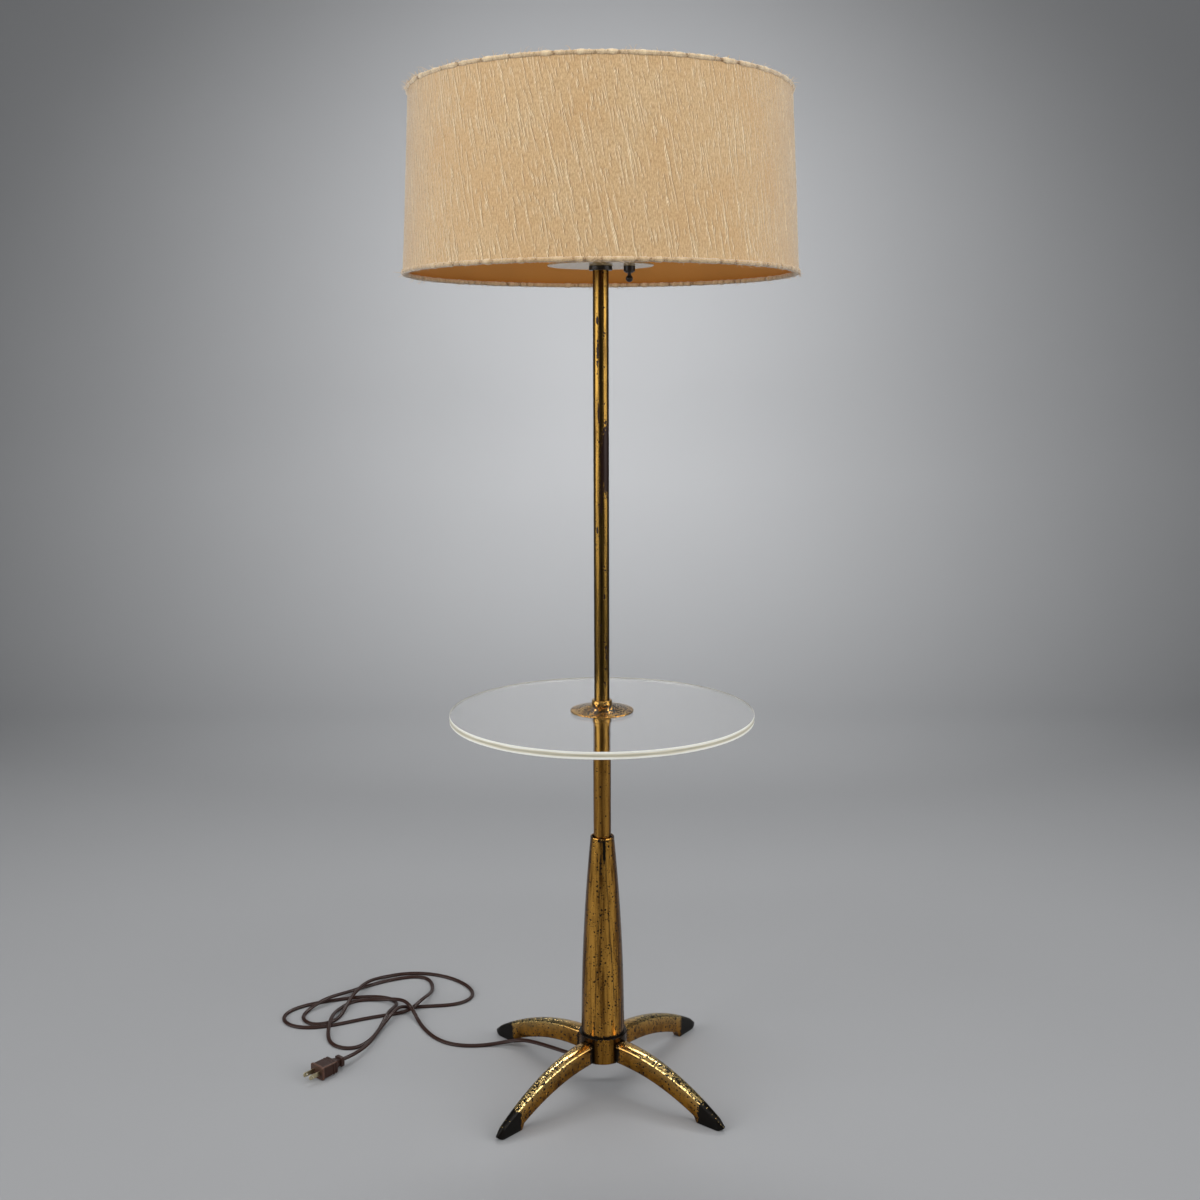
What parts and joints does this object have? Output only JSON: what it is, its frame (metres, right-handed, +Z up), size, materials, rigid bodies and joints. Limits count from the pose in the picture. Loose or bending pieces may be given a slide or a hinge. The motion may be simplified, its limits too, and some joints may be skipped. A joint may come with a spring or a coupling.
{
  "type": "floor lamp",
  "caption": "Floor lamp with a round clear table on its pole, a flared column on a drum with arched feet, a cloth drum shade and a cord with a two-blade plug.",
  "frame": {"origin": "on the floor, under the pole's axis", "axes": "+Z up along the pole, the front of the lamp faces -Y, +X to its right as seen from the front"},
  "size_m": [0.7504, 0.5997, 1.3444],
  "materials": {
    "aged_brass": "lacquered, worn and tarnished",
    "plain_brass": "turned",
    "plated_steel": "zinc plated",
    "black_phenolic": "moulded, satin",
    "clear_acrylic": "clear, polished edge",
    "pale_enamel": "baked enamel",
    "shade_cloth": "slub weave on a stiff backing",
    "shade_lining": "smooth, amber with age",
    "shade_tape": "folded and frayed",
    "bulb_glass": "frosted",
    "cord_rubber": "satin",
    "plug_rubber": "moulded, satin",
    "blade_brass": "rolled"
  },
  "bodies": {
    "root": {"hub": "aged_brass", "leg_back_right": "aged_brass", "leg_back_left": "aged_brass", "leg_front_left": "aged_brass", "leg_front_right": "aged_brass", "leg_screws": "plated_steel", "column": "aged_brass", "column_collar": "plain_brass", "lower_tube": "aged_brass", "lower_plug": "plain_brass", "table_top": "clear_acrylic", "table_flange": "aged_brass", "upper_tube": "aged_brass", "upper_plug": "plain_brass", "pole_cap": "black_phenolic", "centre_pipe": "plated_steel", "base_washer": "plated_steel", "base_nut": "plated_steel", "pipe_bushing": "black_phenolic", "inner_lead": "cord_rubber", "light_plate": "pale_enamel", "plate_washer": "plated_steel", "plate_nut": "plated_steel", "hickey": "plated_steel", "riser_pipe": "plated_steel", "shade_stud": "plain_brass", "lampholder_1": "black_phenolic", "lampholder_2": "black_phenolic", "lampholder_3": "black_phenolic", "screw_shells": "plain_brass", "bulb_1": "bulb_glass", "bulb_2": "bulb_glass", "bulb_3": "bulb_glass", "holder_rivets": "plain_brass", "socket_leads": "cord_rubber", "switch_lead": "cord_rubber", "switch_body": "black_phenolic", "switch_nut": "black_phenolic", "cord": "cord_rubber", "plug_body": "plug_rubber", "plug_blades": "blade_brass"},
    "shade": {"shade_spider": "plated_steel", "bottom_ring": "plated_steel", "shade_cover": "shade_cloth", "shade_lining": "shade_lining", "top_trim": "shade_tape", "bottom_trim": "shade_tape"},
    "finial": {"finial": "aged_brass"},
    "switch_knob": {"switch_knob": "black_phenolic"}
  },
  "joints": [
    {"name": "shade_turn", "type": "hinge", "parent": "root", "child": "shade", "pos_m": [0, 0, 1.32], "axis": [0, 0, 1], "continuous": true},
    {"name": "finial_turn", "type": "hinge", "parent": "root", "child": "finial", "pos_m": [0, 0, 1.33], "axis": [0, 0, 1], "continuous": true},
    {"name": "switch_turn", "type": "hinge", "parent": "root", "child": "switch_knob", "pos_m": [0.0368, 0, 1.1063], "axis": [0, 0, 1], "continuous": true}
  ]
}
